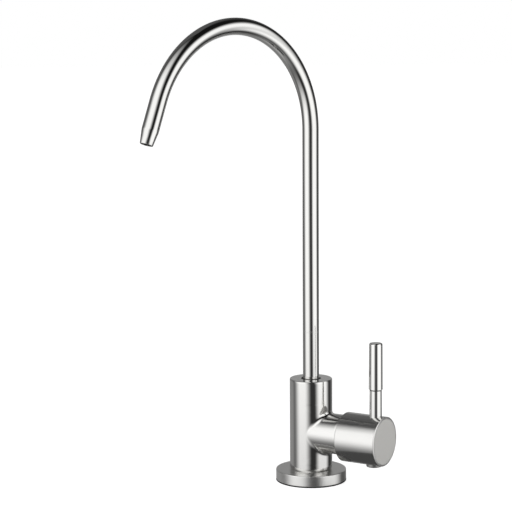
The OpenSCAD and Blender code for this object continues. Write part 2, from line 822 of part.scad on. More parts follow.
module spout_end() {
  hold_r = tube_r + seat_clear;
  color([0.75, 0.62, 0.33])
    difference() {
      turned([[end_bore / 2, end_z], [end_r - small_edge, end_z], [end_r, end_z + small_edge],
              [end_r, lock_z - lock_half], [lock_r, lock_z - lock_half + lock_groove],
              [lock_r, lock_z + lock_half - lock_groove], [end_r, lock_z + lock_half], [end_r, end_top],
              [hold_r, end_top], [hold_r, tube_z], [end_bore / 2, tube_z]]);
      ring_groove(spout_ring_r - spout_ring_s / 2 - ring_under, body_d, spout_groove_w, spout_ring_low);
      ring_groove(spout_ring_r - spout_ring_s / 2 - ring_under, body_d, spout_groove_w, spout_ring_high);
    }
}

module spout_o_rings() {
  color([0.05, 0.05, 0.05]) {
    o_ring(spout_ring_r, spout_ring_s, spout_ring_low);
    o_ring(spout_ring_r, spout_ring_s, spout_ring_high);
  }
}

module handle_barrel() {
  hole = square_s + 2 * run_clear;
  color([0.76, 0.76, 0.77])
    difference() {
      along_branch()
        turned(concat([[0, cavity_x], [cavity_r, cavity_x], [cavity_r, handle_x],
                       [handle_r - body_edge, handle_x], [handle_r, handle_x + body_edge]],
                      arc(handle_r - handle_edge, handle_front - handle_edge, handle_edge, 0, 90, 4),
                      [[0, handle_front]]));
      translate([cavity_x - overcut, -hole / 2, branch_z - hole / 2])
        cube([handle_front - front_wall - cavity_x + overcut, hole, hole]);
      translate([lever_x, 0, lever_foot])
        cylinder(d = lever_d + 2 * seat_clear, h = lever_seat + overcut);
      translate([lever_x, 0, lever_foot - stud_len - stud_room])
        cylinder(d = stud_d + 2 * seat_clear, h = stud_len + overcut);
      translate([screw_x, 0, belly_z - overcut])
        cylinder(d = plug_d + 2 * seat_clear, h = plug_seat + overcut);
      translate([screw_x, 0, belly_z])
        cylinder(d = screw_d + 2 * seat_clear, h = branch_z - belly_z);
    }
}

module lever() {
  step_z = crown_z + lever_neck_len;
  tip_z = step_z + grip_len;
  tip_r = grip_tip_d / 2;
  neck_r = lever_neck_d / 2;
  color([0.78, 0.78, 0.79])
    translate([lever_x, 0, 0])
      turned(concat([[0, lever_foot - stud_len], [stud_d / 2 - stud_lead, lever_foot - stud_len],
                     [stud_d / 2, lever_foot - stud_len + stud_lead], [stud_d / 2, lever_foot],
                     [lever_d / 2, lever_foot], [lever_d / 2, crown_z], [neck_r, step_z - neck_cut_w],
                     [neck_r - neck_cut, step_z - neck_cut_w], [neck_r - neck_cut, step_z],
                     [grip_d / 2 - grip_break, step_z], [grip_d / 2, step_z + grip_break]],
                    arc(tip_r - grip_round, tip_z - grip_round, grip_round, 0, 90, 4),
                    [[0, tip_z]]));
}

module handle_screw() {
  len = screw_tip - plug_top - screw_sink;
  color([0.55, 0.56, 0.58])
    translate([screw_x, 0, screw_tip])
      rotate([180, 0, 0])
        set_screw(screw_d, len, screw_d * screw_tip_share, screw_tip_len, screw_d / 2);
}

module screw_plug() {
  h = plug_proud + plug_seat;
  color([0.74, 0.74, 0.75])
    translate([screw_x, 0, plug_top - h])
      turned(concat([[0, 0]], arc(plug_d / 2 - plug_round, plug_round, plug_round, -90, 0, 3),
                    [[plug_d / 2, h], [0, h]]));
}

tap_body();
base_flange();
base_gasket();
shank();
shank_o_ring();
rubber_washer();
steel_washer();
lock_washer();
fixing_nut();
inlet_nut();
inlet_olive();
cartridge_housing();
cartridge_o_ring();
seat_seal();
fixed_disc();
spout_bush();
spout_lock_screw();
spout_tube();
spout_end();
spout_o_rings();
handle_barrel();
lever();
handle_screw();
screw_plug();
spindle();
spindle_o_rings();
spindle_clip();
moving_disc();
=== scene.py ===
"""Looks of a drinking water filter tap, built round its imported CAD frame.

All sizes in the classes of the tap are millimetres, in the frame of the CAD: Z is up, the
worktop is at z = 0, the spout reaches towards -Y and the handle stands out along +X. Each mesh
is scaled to metres as its last step, so every object sits at the origin with its place in its
mesh. The studio round the tap is in metres.
"""

import logging
from collections.abc import Callable, Iterable
from dataclasses import dataclass
from enum import Enum
from math import atan2, cos, hypot, pi, radians, sin, sqrt, tan, tau

import bmesh
import bpy
from mathutils import Matrix, Vector


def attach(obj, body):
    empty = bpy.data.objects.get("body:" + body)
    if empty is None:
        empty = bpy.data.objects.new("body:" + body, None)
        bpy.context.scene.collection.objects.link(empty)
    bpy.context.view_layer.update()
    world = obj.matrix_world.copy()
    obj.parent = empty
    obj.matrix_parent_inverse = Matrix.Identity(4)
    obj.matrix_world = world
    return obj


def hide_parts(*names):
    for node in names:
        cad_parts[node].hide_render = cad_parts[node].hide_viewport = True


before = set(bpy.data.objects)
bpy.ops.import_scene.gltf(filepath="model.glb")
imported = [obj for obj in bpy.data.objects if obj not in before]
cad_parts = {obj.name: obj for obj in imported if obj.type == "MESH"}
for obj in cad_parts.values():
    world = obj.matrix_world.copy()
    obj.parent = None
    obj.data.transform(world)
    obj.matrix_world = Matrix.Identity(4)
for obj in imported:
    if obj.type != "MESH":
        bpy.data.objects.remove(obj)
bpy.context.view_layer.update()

LOG = logging.getLogger("filter_tap")
MM = 0.001
LAY = "lay"

# Points of a mesh that lie closer than this, in millimetres, become one
WELD = 0.002
# Room for rounding: when a place on a piece is compared with a size, and in sums
HAIR, TINY = 0.01, 1e-6
# Rounding of small edges, in millimetres
CRISP, FINE, SOFT, ROOT, FULL = 0.05, 0.1, 0.2, 0.3, 0.4
# Points that a straight lead gives an outline before its first rounded corner
LEAD = 3
# Where most of a noise pattern lies
NOISE_SPAN = (0.3, 0.7)
# Scale of the broad clouds in a steel finish, across and along its lay map
CLOUDS = (0.22, 0.16, 1.0)
# Flags of the rays that pass by a piece of the set which only shows in reflections
BUT_GLOSSY = ("visible_camera", "visible_diffuse", "visible_transmission", "visible_shadow",
              "visible_volume_scatter")
# Colour cast of the steel
WARM_STEEL = Vector((1.0, 0.994, 0.974))

Mesh = bmesh.types.BMesh
Ring = list[bmesh.types.BMEdge]
Points = list[bmesh.types.BMVert]
Material = bpy.types.Material
Node = bpy.types.Node
Socket = bpy.types.NodeSocket
Inputs = dict[str | int, object]
Pair = tuple[float, float]
Triple = tuple[float, float, float]
Chart = Callable[[Vector, Vector], Pair]
Finishes = dict[str, Material]


class Flow(Enum):
    """The way of the brush marks on a piece, as their scale across and along its lay map."""

    ALONG = (7.0, 0.16, 1.0)
    AROUND = (0.16, 7.0, 1.0)
    MATT = (1.4, 1.2, 1.0)


class Axis(Enum):
    """The line that a turned piece is turned about."""

    UPRIGHT = "upright"
    BRANCH = "branch"


@dataclass(frozen=True)
class Fade:
    """A smooth change between two places on a scale, which holds its ends outside them."""

    low: float
    high: float
    start: float = 0.0
    end: float = 1.0


class Wires:
    """Adds nodes to one node tree and joins them."""

    def __init__(self, tree: bpy.types.NodeTree) -> None:
        """Empties the tree and keeps it."""
        self.tree = tree
        tree.nodes.clear()

    def fill(self, node: Node, inputs: Inputs) -> Node:
        """Joins sockets to inputs of a node, or writes plain values there.

        Args:
            node: The node.
            inputs: What its inputs take, by name or place.

        Returns:
            The node.
        """
        for key, value in inputs.items():
            if isinstance(value, Socket):
                self.tree.links.new(value, node.inputs[key])
            else:
                node.inputs[key].default_value = value
        return node

    def node(self, kind: str, inputs: Inputs | None = None, **settings: object) -> Node:
        """Adds a node.

        Args:
            kind: Blender's name of the node type.
            inputs: What its inputs take, by name or place.
            settings: Attributes of the node.

        Returns:
            The new node.
        """
        made = self.tree.nodes.new(kind)
        for name, value in settings.items():
            setattr(made, name, value)
        return self.fill(made, inputs or {})

    def math(self, operation: str, first: object, second: object = 0.0) -> Socket:
        """Works out an operation on two sockets or numbers."""
        return self.node("ShaderNodeMath", {0: first, 1: second}, operation=operation).outputs[0]

    def times(self, first: object, second: object) -> Socket:
        """Multiplies two sockets or numbers."""
        return self.math("MULTIPLY", first, second)

    def fade(self, value: Socket, fade: Fade) -> Socket:
        """Maps a value by a fade."""
        span = {"Value": value, "From Min": fade.low, "From Max": fade.high, "To Min": fade.start,
                "To Max": fade.end}
        return self.node("ShaderNodeMapRange", span, interpolation_type="SMOOTHSTEP").outputs["Result"]

    def axis(self, vector: Socket, letter: str) -> Socket:
        """One coordinate of a vector, by its letter."""
        return self.node("ShaderNodeSeparateXYZ", {"Vector": vector}).outputs[letter]

    def noise(self, place: Socket, stretch: Triple, detail: float) -> Socket:
        """A noise pattern from 0 to 1, scaled along each coordinate, with octaves of detail."""
        mapped = self.node("ShaderNodeMapping", {"Vector": place, "Scale": stretch}).outputs["Vector"]
        pattern = {"Vector": mapped, "Scale": 1.0, "Detail": detail}
        return self.node("ShaderNodeTexNoise", pattern).outputs["Fac"]

    def tint(self, share: Socket, dark: Iterable[float], light: Iterable[float]) -> Socket:
        """Mixes two colours with a Mix node, whose colour sockets are known by their places."""
        ends = {0: share, 6: (*dark, 1.0), 7: (*light, 1.0)}
        return self.node("ShaderNodeMix", ends, data_type="RGBA").outputs[2]

    def relief(self, height: Socket, strength: float, depth: float) -> Socket:
        """The normal of fine relief that follows a pattern, with its depth in millimetres."""
        bump = {"Strength": strength, "Distance": depth * MM, "Height": height}
        return self.node("ShaderNodeBump", bump).outputs["Normal"]


def new_material(name: str, kind: str = "ShaderNodeBsdfPrincipled") -> tuple[Material, Wires, Node]:
    """Makes a material of one shader.

    Args:
        name: Name of the material.
        kind: Blender's name of the shader's node type.

    Returns:
        The material, its wires and its shader.
    """
    material = bpy.data.materials.new(name)
    material.use_nodes = True
    wires = Wires(material.node_tree)
    shader = wires.node(kind)
    wires.node("ShaderNodeOutputMaterial", {"Surface": shader.outputs[0]})
    return material, wires, shader


def put_in_scene(name: str, bm: Mesh, materials: Iterable[Material]) -> bpy.types.Object:
    """Makes an object of a finished mesh.

    Args:
        name: Name of the object.
        bm: The mesh, in metres, which is freed.
        materials: Its materials.

    Returns:
        The object.
    """
    mesh = bpy.data.meshes.new(name)
    bm.to_mesh(mesh)
    bm.free()
    for material in materials:
        mesh.materials.append(material)
    made = bpy.data.objects.new(name, mesh)
    bpy.context.scene.collection.objects.link(made)
    return made


@dataclass(frozen=True)
class Steel:
    """Brushed stainless steel on a piece that has a lay map, in millimetres.

    The brush marks are fine streaks in tone, roughness and relief. A ring is the place along the
    lay map of a faint rougher ring, and nought where there is none.
    """

    name: str
    tone: float = 0.80
    roughness: float = 0.2
    spread: float = 0.04
    flow: Flow = Flow.ALONG
    relief: float = 0.10
    ring: float = 0.0
    ring_fade: Fade = Fade(0.2, 1.6, 0.14, 0.0)
    swing: float = 0.05
    streak_share: float = 0.6
    depth: float = 0.02

    def faint_ring(self, wires: Wires, lay: Socket) -> Socket:
        """Extra roughness of the faint ring that polishing left round the piece."""
        away = wires.math("ABSOLUTE", wires.math("SUBTRACT", wires.axis(lay, "Y"), self.ring))
        return wires.fade(away, self.ring_fade)

    def material(self) -> Material:
        """Builds the finish.

        Returns:
            The material.
        """
        material, wires, shader = new_material(self.name)
        lay = wires.node("ShaderNodeUVMap", uv_map=LAY).outputs["UV"]
        streaks = wires.noise(lay, self.flow.value, 3.0)
        clouds = wires.noise(lay, CLOUDS, 2.0)
        dark, light = (WARM_STEEL * (self.tone * (1 + s)) for s in (-self.swing, self.swing))
        worn = wires.math("ADD", wires.times(streaks, self.streak_share),
                          wires.times(clouds, 1 - self.streak_share))
        low, high = self.roughness - self.spread, self.roughness + self.spread
        rough = wires.fade(worn, Fade(*NOISE_SPAN, low, high))
        if self.ring:
            rough = wires.math("ADD", rough, self.faint_ring(wires, lay))
        wires.fill(shader, {"Base Color": wires.tint(streaks, dark, light), "Metallic": 1.0,
                            "Roughness": rough,
                            "Normal": wires.relief(streaks, self.relief, self.depth)})
        return material


@dataclass(frozen=True)
class Stock:
    """A plain stock material with fine grain on object coordinates."""

    name: str
    dark: Triple
    light: Triple
    metallic: float
    roughness: float
    grain: float
    relief: float
    broader: float = 9.0
    swing: float = 0.15
    depth: float = 0.03

    def material(self) -> Material:
        """Builds the finish.

        Returns:
            The material.
        """
        material, wires, shader = new_material(self.name)
        place = wires.node("ShaderNodeTexCoord").outputs["Object"]
        scale = self.grain / MM
        fine = wires.noise(place, (scale,) * 3, 4.0)
        broad = wires.noise(place, (scale / self.broader,) * 3, 2.0)
        low, high = self.roughness * (1 - self.swing), self.roughness * (1 + self.swing)
        wires.fill(shader, {"Base Color": wires.tint(broad, self.dark, self.light),
                            "Metallic": self.metallic,
                            "Roughness": wires.fade(fine, Fade(*NOISE_SPAN, low, high)),
                            "Normal": wires.relief(fine, self.relief, self.depth)})
        return material


FINISHES: dict[str, Steel | Stock] = {
    "body": Steel("satin_steel_body", roughness=0.075, spread=0.025),
    "branch": Steel("satin_steel_branch", tone=0.77, roughness=0.15),
    "plate": Steel("satin_steel_flange", tone=0.92, roughness=0.3, spread=0.02, flow=Flow.AROUND,
                   relief=0.05),
    # The flange top's darker tone is painted shade, standing in for the dark underside of the tap
    # mirrored in it; its roughness and turned lay are its own
    "plate_top_painted_shade": Steel("turned_steel_flange_top_painted_shade", tone=0.75, roughness=0.32, spread=0.02,
                       flow=Flow.AROUND, relief=0.06),
    "crown": Steel("turned_steel_crown", tone=0.65, roughness=0.16, flow=Flow.AROUND, relief=0.06),
    "barrel": Steel("satin_steel_barrel", tone=0.75, roughness=0.16),
    # The rim and dished back's lighter tone is a painted highlight, standing in for the bright
    # reflection there; their rougher turned lay is their own
    "rim": Steel("satin_steel_rim_painted_highlight", tone=0.9, roughness=0.4, flow=Flow.AROUND),
    # The cover's dark tone is painted shade from the barrel above it; its roughness is its own
    "cover": Steel("satin_steel_cover_painted_shade", tone=0.4, roughness=0.45),
    "face": Steel("blasted_steel_face", tone=0.96, roughness=0.92, flow=Flow.MATT, relief=0.16),
    "tube": Steel("brushed_steel_tube", tone=0.77, roughness=0.08, spread=0.025, ring=89.2),
    "lever": Steel("bright_steel_lever", tone=0.84, roughness=0.05, spread=0.02, relief=0.04),
    # The ring cut's near-black tone is painted shade in the groove under the grip
    "cut": Steel("ring_cut_painted_shade", tone=0.08, roughness=0.5, flow=Flow.AROUND),
    "rubber": Stock("black_rubber", (0.012, 0.012, 0.012), (0.024, 0.024, 0.025),
                    0.0, 0.62, 1.6, 0.25),
    "brass": Stock("turned_brass", (0.66, 0.47, 0.2), (0.76, 0.56, 0.27), 1.0, 0.3, 0.9, 0.12),
    "ceramic": Stock("disc_ceramic", (0.80, 0.79, 0.76), (0.86, 0.85, 0.82), 0.0, 0.28, 2.2, 0.06),
    "acetal": Stock("black_acetal", (0.018, 0.018, 0.019), (0.03, 0.03, 0.031), 0.0, 0.42, 2.0, 0.15),
    "spring": Stock("spring_steel", (0.36, 0.36, 0.37), (0.46, 0.46, 0.47), 1.0, 0.36, 1.2, 0.12),
    "zinc": Stock("plated_steel", (0.62, 0.63, 0.64), (0.72, 0.73, 0.74), 1.0, 0.3, 0.7, 0.10),
    "nylon": Stock("nylon_olive", (0.68, 0.67, 0.62), (0.76, 0.75, 0.70), 0.0, 0.45, 1.4, 0.12),
}


def arc(first: Vector, last: Vector, share: float) -> Vector:
    """A point of the arc between two arms of equal length that start at its centre."""
    return first.normalized().slerp(last.normalized(), share) * first.length


def soften(corners: Iterable[Triple], closed: bool = False, steps: int = 5,
           hold: float = 0.14) -> list[Vector]:
    """Rounds the corners of an outline and adds points that hold its flats flat.

    Args:
        corners: Radius, height and corner rounding of each corner.
        closed: Whether the outline runs back to its start.
        steps: Chords in each rounded corner.
        hold: How far from a corner a flat's holding point lies.

    Returns:
        Points of the outline, as radius and height.
    """
    knots = [(Vector(c[:2]), c[2]) for c in corners]
    count = len(knots)
    line: list[Vector] = []
    for i, (point, radius) in enumerate(knots):
        ends = not closed and i in (0, count - 1)
        if radius <= 0 or ends:
            line.append(point)
            continue
        back = (knots[i - 1][0] - point).normalized()
        ahead = (knots[(i + 1) % count][0] - point).normalized()
        half = back.angle(ahead) / 2
        centre = point + (back + ahead).normalized() * (radius / sin(half))
        first = point + back * (radius / tan(half)) - centre
        last = point + ahead * (radius / tan(half)) - centre
        line.extend(centre + arc(first, last, j / steps) for j in range(steps + 1))
    held: list[Vector] = []
    for i, point in enumerate(line):
        held.append(point)
        if i + 1 == len(line) and not closed:
            break
        step = line[(i + 1) % len(line)] - point
        if step.length > 4 * hold:
            held.append(point + step.normalized() * hold)
            held.append(point + step - step.normalized() * hold)
    return held


def turn(bm: Mesh, outline: list[Vector], steps: int, closed: bool = False,
         start: float = pi / 2) -> Points:
    """Turns an outline about the Z axis.

    Args:
        bm: The mesh to add to.
        outline: Radius and height of each point.
        steps: Faces round the piece.
        closed: Whether the outline runs back to its start.
        start: Angle at which the turning starts.

    Returns:
        The piece's points.
    """
    before = set(bm.verts)
    points = [bm.verts.new((p.x * cos(start), p.x * sin(start), p.y)) for p in outline]
    edges = [bm.edges.new(pair) for pair in zip(points, points[1:])]
    if closed:
        edges.append(bm.edges.new((points[-1], points[0])))
    bmesh.ops.spin(bm, geom=[*points, *edges], cent=(0, 0, 0), axis=(0, 0, 1), angle=tau,
                   steps=steps, use_merge=True)
    return [v for v in bm.verts if v not in before]


def along_branch(height: float) -> Matrix:
    """The move that lays a piece turned about Z on the branch's axis at a height."""
    return Matrix.Translation((0, 0, height)) @ Matrix.Rotation(pi / 2, 4, "Y")


def sheet(bm: Mesh, columns: int, rows: int, place: Callable[[float, float], Vector]) -> None:
    """Bends a flat grid into a curved sheet.

    Args:
        bm: The mesh to add to.
        columns: Faces across the grid.
        rows: Faces up the grid.
        place: Gives a point for each share across and up the grid.
    """
    grid = bmesh.ops.create_grid(bm, x_segments=columns, y_segments=rows, size=0.5)["verts"]
    for v in grid:
        v.co = place(v.co.x + 0.5, v.co.y + 0.5)


def near(angle: float, base: float) -> float:
    """The angle's equal that lies within half a turn of a base angle."""
    return angle - tau * round((angle - base) / tau)


def turned_chart(axis: Axis, radius: float, at: float = 0.0) -> Chart:
    """Lays a map round a turned piece, with u round it and v along it.

    Args:
        axis: The line that the piece is turned about.
        radius: Radius at which the map is true to size.
        at: Where along X an upright axis stands, or the height of a branch axis.

    Returns:
        The chart.
    """
    def polar(p: Vector) -> Triple:
        """Angle, distance from the axis and place along it."""
        x, y, along = (p.x - at, p.y, p.z) if axis is Axis.UPRIGHT else (p.y, p.z - at, p.x)
        return atan2(y, x), hypot(x, y), along

    def chart(point: Vector, centre: Vector) -> Pair:
        """The map's place of a face's corner."""
        base, (angle, reach, along) = polar(centre)[0], polar(point)
        return (base if reach < TINY else near(angle, base)) * radius, along + radius - reach

    return chart


@dataclass
class Piece:
    """A mesh piece of the tap that stands for a CAD node."""

    name: str
    body: str
    slot: str
    node: str
    crease: float = 42.0

    def make(self, bm: Mesh, materials: list[Material], chart: Chart,
             choose: Callable[[Vector], int] = lambda p: 0) -> None:
        """Closes the mesh, lays its map and puts the piece in the frame.

        Args:
            bm: The mesh, in millimetres.
            materials: Finishes of the piece.
            chart: Lay of the finish on the piece.
            choose: Gives the finish's place in the list for a face's centre.
        """
        bmesh.ops.remove_doubles(bm, verts=bm.verts, dist=WELD)
        bmesh.ops.recalc_face_normals(bm, faces=bm.faces)
        layer = bm.loops.layers.uv.new(LAY)
        for face in bm.faces:
            centre = face.calc_center_median()
            face.smooth = True
            face.material_index = choose(centre)
            for loop in face.loops:
                loop[layer].uv = chart(loop.vert.co, centre)
        sharp = radians(self.crease)
        for edge in bm.edges:
            edge.smooth = len(edge.link_faces) != 2 or edge.calc_face_angle(0.0) < sharp
        bmesh.ops.scale(bm, vec=(MM, MM, MM), verts=bm.verts)
        piece = put_in_scene(self.name, bm, materials)
        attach(piece, self.body)
        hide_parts(self.node)
        LOG.info("%s: %d faces on %s", self.name, len(piece.data.polygons), self.body)


@dataclass
class Base:
    """The flange on the worktop and the gasket under it."""

    finishes: Finishes
    flange_r: float = 20.7
    top: float = 6.8
    gasket_t: float = 0.7
    gasket_lip: float = 0.095
    edge: float = 0.45
    hollow_r: float = 15.3
    hollow_top: float = 4.3
    bore_r: float = 8.03
    rib_gap: float = 0.03
    rib_t: float = 1.0
    rib_h: float = 1.5
    steps: int = 160

    def build(self) -> None:
        """Builds both pieces."""
        self.build_flange()
        self.build_gasket()

    def build_flange(self) -> None:
        """Turns the flange with its broken edges and hollow underside."""
        bm = bmesh.new()
        rim = [(self.bore_r, self.hollow_top, 0), (self.hollow_r, self.hollow_top, ROOT),
               (self.hollow_r, self.gasket_t, FINE), (self.flange_r, self.gasket_t, SOFT),
               (self.flange_r, self.top, self.edge), (self.bore_r, self.top, 0)]
        turn(bm, soften(rim, closed=True), self.steps, closed=True)
        piece = Piece("flange_plate", "base", "body_steel", "base_flange")
        piece.make(bm, [self.finishes["plate"], self.finishes["plate_top_painted_shade"]],
                   turned_chart(Axis.UPRIGHT, self.flange_r), self.on_top)

    def on_top(self, p: Vector) -> int:
        """One for a place on the flange's flat top, which takes the painted shade, and nought
        elsewhere.
        """
        return int(p.z > self.top - HAIR)

    def build_gasket(self) -> None:
        """Turns the gasket with the rib that holds it in the flange."""
        bm = bmesh.new()
        outer = self.flange_r + self.gasket_lip
        rib = self.hollow_r - self.rib_gap
        rib_top = self.gasket_t + self.rib_h
        ring = [(rib - self.rib_t, 0, 0), (outer, 0, SOFT), (outer, self.gasket_t, SOFT),
                (rib, self.gasket_t, 0), (rib, rib_top, SOFT), (rib - self.rib_t, rib_top, SOFT)]
        turn(bm, soften(ring, closed=True, steps=3), self.steps, closed=True)
        piece = Piece("flange_gasket", "base", "rubber", "base_gasket")
        piece.make(bm, [self.finishes["rubber"]], turned_chart(Axis.UPRIGHT, outer))


@dataclass
class Body:
    """The upright body with its side branch and the dressed weld between them."""

    finishes: Finishes
    radius: float = 12.5
    foot_z: float = 6.8
    foot_h: float = 1.0
    foot_in: float = 0.35
    top: float = 61.1
    edge: float = 0.45
    spigot_r: float = 8.0
    spigot_z: float = 2.3
    thread_r: float = 4.78
    thread_top: float = 12.7
    socket_r: float = 5.78
    socket_z: float = 41.1
    socket_cut: float = 0.3
    socket_edge: float = 0.08
    branch_r: float = 11.8
    branch_z: float = 29.5
    bore_drop: float = 0.65
    branch_end: float = 22.8
    branch_bore: float = 9.0
    seat_x: float = 5.0
    weld_r: float = 1.8
    weld_side_r: float = 5.0
    weld_room: float = 0.72
    patch_h: float = 18.0
    patch_ease: float = 1.3
    side: int = 48

    def weld_ball(self, angle: float) -> float:
        """Radius of the weld at an angle round the branch."""
        return self.weld_r + (self.weld_side_r - self.weld_r) * cos(angle) ** 2

    def weld_centre(self, angle: float) -> Vector:
        """Centre of the ball that rolls round the saddle.

        Args:
            angle: Angle round the branch.

        Returns:
            The centre, relative to the branch's height.
        """
        ball = self.weld_ball(angle)
        reach = self.branch_r + ball
        y, z = reach * cos(angle), reach * sin(angle)
        return Vector((sqrt((self.radius + ball) ** 2 - y * y), y, z))

    def saddle_angle(self, share: float) -> float:
        """Angle round the branch for a share of the way round it, from its upper right."""
        return radians(45 + 360 * share)

    def on_body(self, angle: float, z: float) -> Vector:
        """A point on the body's wall."""
        return Vector((self.radius * cos(angle), self.radius * sin(angle), z))

    def around_saddle(self, share: float, out: float) -> Vector:
        """A point on the body's wall round the weld.

        Args:
            share: Share of the way round the branch.
            out: Share of the way from the weld to the square that frames it.

        Returns:
            The point.
        """
        signs = ((1, 1), (-1, 1), (-1, -1), (1, -1), (1, 1))
        corners = [Vector((pi / 2 * a, self.patch_h * b)) for a, b in signs]
        i = min(int(share * 4 + TINY), 3)
        rim = corners[i].lerp(corners[i + 1], share * 4 - i)
        c = self.weld_centre(self.saddle_angle(share))
        turned, height = Vector((atan2(c.y, c.x), c.z)).lerp(rim, out ** self.patch_ease)
        return self.on_body(turned, self.branch_z + height)

    def across_weld(self, share: float, over: float) -> Vector:
        """A point on the weld.

        Args:
            share: Share of the way round the branch.
            over: Share of the way from the body to the branch.

        Returns:
            The point.
        """
        angle = self.saddle_angle(share)
        ball, c = self.weld_ball(angle), self.weld_centre(angle)
        to_body = Vector((c.x, c.y, 0)) * (-ball / (self.radius + ball))
        to_branch = Vector((0, c.y, c.z)) * (-ball / (self.branch_r + ball))
        return c + arc(to_body, to_branch, over) + Vector((0, 0, self.branch_z))

    def along_pipe(self, share: float, along: float) -> Vector:
        """A point on the branch's wall.

        Args:
            share: Share of the way round the branch.
            along: Share of the way from the weld to the branch's end.

        Returns:
            The point.
        """
        angle = self.saddle_angle(share)
        start = self.weld_centre(angle).x
        x = start + (self.branch_end - self.edge - start) * along
        y, z = self.branch_r * cos(angle), self.branch_r * sin(angle)
        return Vector((x, y, self.branch_z + z))

    def on_branch(self, p: Vector) -> bool:
        """Whether a place is on the branch, past the middle of the weld."""
        past = p.x > self.weld_centre(atan2(p.z - self.branch_z, p.y)).x - self.weld_room
        return past and hypot(p.y, p.z - self.branch_z) < self.branch_r + self.weld_room

    def choose(self, p: Vector) -> int:
        """Finish of a place: body, branch, or the flat crown round the spout."""
        if p.z > self.top - HAIR:
            return 2
        return int(self.on_branch(p))

    def chart(self, point: Vector, centre: Vector) -> Pair:
        """Lay of the finish: up the body, and along the branch past the weld."""
        if self.on_branch(centre):
            return turned_chart(Axis.BRANCH, self.branch_r, self.branch_z)(point, centre)
        return turned_chart(Axis.UPRIGHT, self.radius)(point, centre)

    def build(self) -> None:
        """Builds the body as one closed skin."""
        bm = bmesh.new()
        n, low, high = self.side, self.branch_z - self.patch_h, self.branch_z + self.patch_h
        foot, shoulder = self.foot_z + self.foot_h, self.top - self.edge
        # Walls of the body and the branch, with the weld between them
        sheet(bm, 4 * n, 8, self.around_saddle)
        sheet(bm, 4 * n, 8, self.across_weld)
        sheet(bm, 4 * n, 10, self.along_pipe)
        sheet(bm, n, n, lambda u, v: self.on_body(pi / 2 + pi * u, low + (high - low) * v))
        sheet(bm, 2 * n, 12, lambda u, v: self.on_body(tau * u, high + (shoulder - high) * v))
        sheet(bm, 2 * n, 5, lambda u, v: self.on_body(tau * u, foot + (low - foot) * v))
        # Flat top, its rounded edge and the spout's socket
        crown = soften([(self.radius, shoulder - 1, 0), (self.radius, self.top, self.edge),
                        (self.socket_r + self.socket_cut, self.top, self.socket_edge),
                        (self.socket_r, self.top - self.socket_cut, self.socket_edge),
                        (self.socket_r, self.socket_z, 0), (0, self.socket_z, 0)])
        turn(bm, crown[LEAD:], 2 * n)
        # Drawn-in foot, spigot in the flange and thread hole of the shank
        turn(bm, soften([(self.radius, foot, 0), (self.radius - self.foot_in, self.foot_z, 0),
                         (self.spigot_r, self.foot_z, 0), (self.spigot_r, self.spigot_z, ROOT),
                         (self.thread_r, self.spigot_z, SOFT), (self.thread_r, self.thread_top, 0),
                         (0, self.thread_top, 0)]), 2 * n)
        # End of the branch and the cartridge's bore, which lies lower than its skin
        mouth = soften([(self.branch_r, self.branch_end - 2, 0),
                        (self.branch_r, self.branch_end, self.edge),
                        (self.branch_bore, self.branch_end, SOFT), (self.branch_bore, self.seat_x, 0),
                        (0, self.seat_x, 0)])
        ring = turn(bm, mouth[LEAD:], 4 * n, start=pi / 4)
        bore = [v for v in ring if hypot(v.co.x, v.co.y) < self.branch_bore + ROOT]
        bmesh.ops.transform(bm, matrix=along_branch(self.branch_z), verts=ring)
        bmesh.ops.translate(bm, vec=(0, 0, -self.bore_drop), verts=bore)
        piece = Piece("tap_body_shell", "base", "body_steel", "tap_body")
        finishes = [self.finishes["body"], self.finishes["branch"], self.finishes["crown"]]
        piece.make(bm, finishes, self.chart, self.choose)


